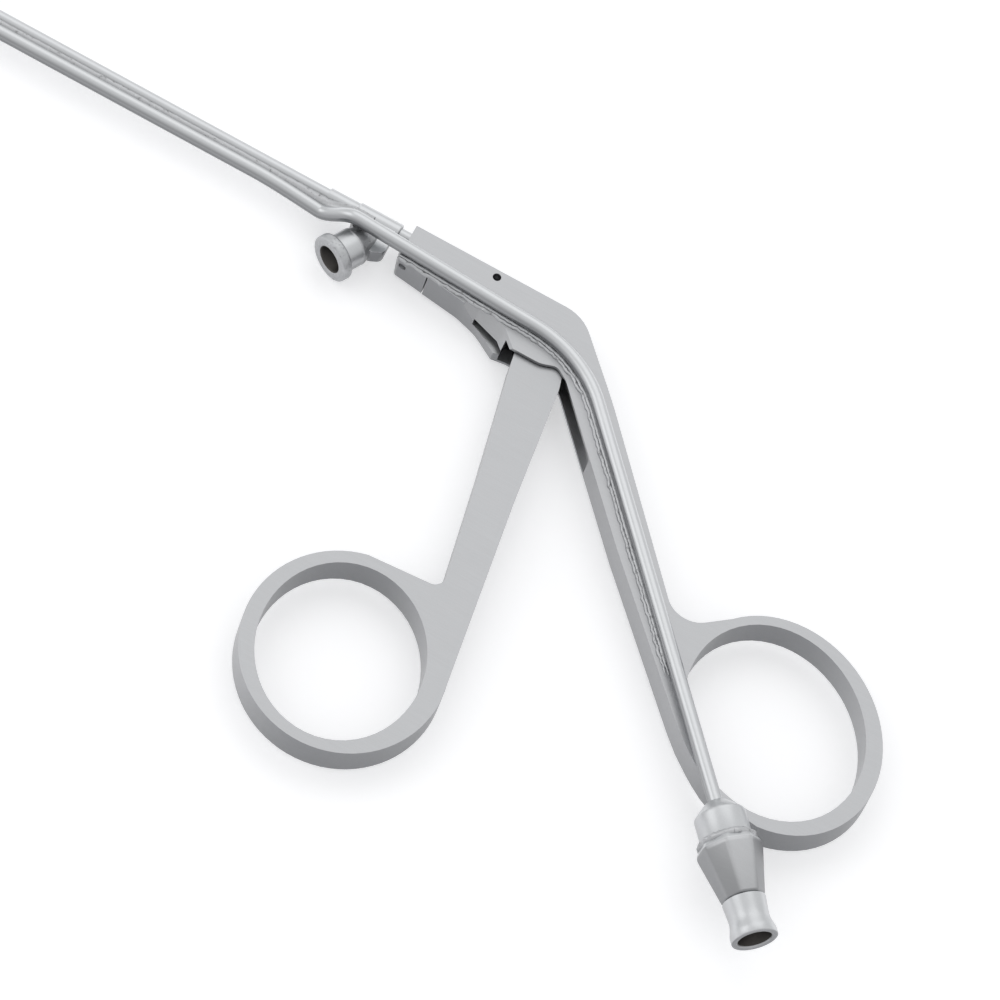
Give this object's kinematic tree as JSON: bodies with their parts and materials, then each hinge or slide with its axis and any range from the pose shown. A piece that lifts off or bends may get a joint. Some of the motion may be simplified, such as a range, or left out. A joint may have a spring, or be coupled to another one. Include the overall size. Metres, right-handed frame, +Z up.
{
  "type": "laryngeal forceps",
  "caption": "Angled ring-handled laryngeal forceps with a long thin shaft, small toothed jaws, a cleaning port and a suction tube with a locking connector.",
  "frame": {"origin": "point on the far flat face of the handle frame, under the shaft's axis just behind the frame's front end", "axes": "+X back along the shaft from the jaws to the handles, +Y away from the finger rings, +Z up out of the flat near face; the object lies on its far side"},
  "size_m": [0.3383, 0.0967, 0.0127],
  "materials": {
    "satin_steel": "satin brushed stainless steel",
    "bright_steel": "drawn and lightly polished stainless steel",
    "dark_steel": "plain turned stainless steel"
  },
  "bodies": {
    "frame": {"handle_frame": "satin_steel", "nose_insert": "satin_steel", "nose_pin": "bright_steel", "handle_pivot_pin": "bright_steel", "shaft_tube": "bright_steel", "shaft_collar": "satin_steel", "cleaning_port": "satin_steel", "suction_tube": "bright_steel", "connector_ferrule": "satin_steel", "connector_body": "satin_steel", "connector_mouth": "satin_steel", "lower_jaw": "satin_steel", "jaw_pivot_pin": "bright_steel"},
    "front_lever": {"front_handle": "satin_steel", "drive_pin": "bright_steel"},
    "rod": {"drive_rod": "dark_steel", "rod_head": "dark_steel", "rod_head_pin": "bright_steel", "jaw_drive_pin": "bright_steel"},
    "moving_jaw": {"upper_jaw": "satin_steel"}
  },
  "joints": [
    {"name": "front_handle_hinge", "type": "hinge", "parent": "frame", "child": "front_lever", "pos_m": [0.022, -0.0049, 0.0026], "axis": [0, 0, 1], "range_deg": [0, 18]},
    {"name": "rod_slide", "type": "slide", "parent": "frame", "child": "rod", "axis": [1, 0, 0], "range_m": [-0.00085, 0]},
    {"name": "upper_jaw_hinge", "type": "hinge", "parent": "frame", "child": "moving_jaw", "pos_m": [-0.2265, -0.0006, 0.0026], "axis": [0, 0, 1], "range_deg": [0, 41]}
  ],
  "couplings": [
    {"joint": "rod_slide", "follows": "front_handle_hinge", "m_per_rad": -0.0025893},
    {"joint": "upper_jaw_hinge", "follows": "front_handle_hinge", "ratio": 2.2222}
  ]
}
